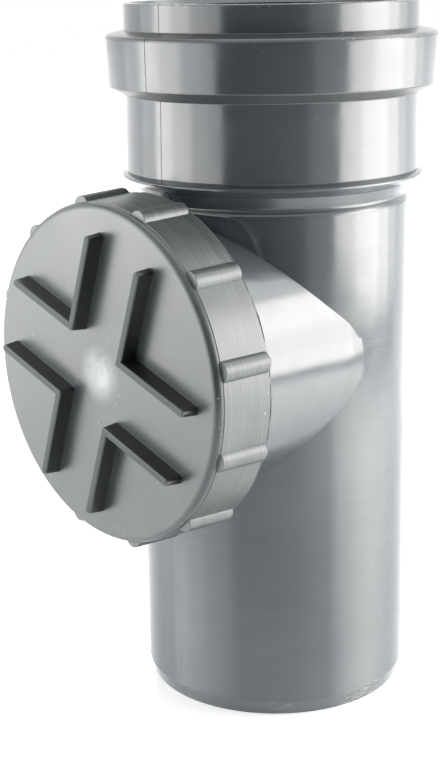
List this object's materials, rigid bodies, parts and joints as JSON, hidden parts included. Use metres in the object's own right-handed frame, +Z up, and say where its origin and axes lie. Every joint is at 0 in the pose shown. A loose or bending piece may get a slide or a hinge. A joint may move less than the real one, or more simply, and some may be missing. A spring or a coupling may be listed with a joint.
{
  "type": "inspection pipe",
  "caption": "Drainage access pipe with a chamfered spigot, a socket with a rubber lip ring, and a side branch closed by a screw cap with grip ribs.",
  "frame": {"origin": "middle of the outline's base; the pipe stands on its spigot on z = 0 and its axis is the line x = 0, y = 16.2 mm", "axes": "+Z up along the pipe towards the socket; -Y along the branch towards the screw cap; +X to the right when the cap is faced"},
  "size_m": [0.1358, 0.1646, 0.2828],
  "materials": {
    "pipe_plastic": "grey moulded polypropylene with a soft gloss",
    "cap_plastic": "grey moulded polypropylene, turned streaks on the skirt",
    "ring_rubber": "black rubber",
    "gasket_rubber": "black rubber, cut flat"
  },
  "bodies": {
    "pipe": {"pipe_body": "pipe_plastic", "socket_seal": "ring_rubber"},
    "gasket": {"cap_gasket": "gasket_rubber"},
    "cap": {"screw_cap": "cap_plastic"}
  },
  "joints": [
    {"name": "cap_travel", "type": "slide", "parent": "pipe", "child": "gasket", "axis": [0, -1, 0], "range_m": [0, 0.021]},
    {"name": "cap_turn", "type": "hinge", "parent": "gasket", "child": "cap", "pos_m": [0, 0.0162, 0.1469], "axis": [0, -1, 0], "range_deg": [0, 1260]}
  ],
  "couplings": [
    {"joint": "cap_travel", "follows": "cap_turn", "m_per_rad": 0.00095493}
  ]
}
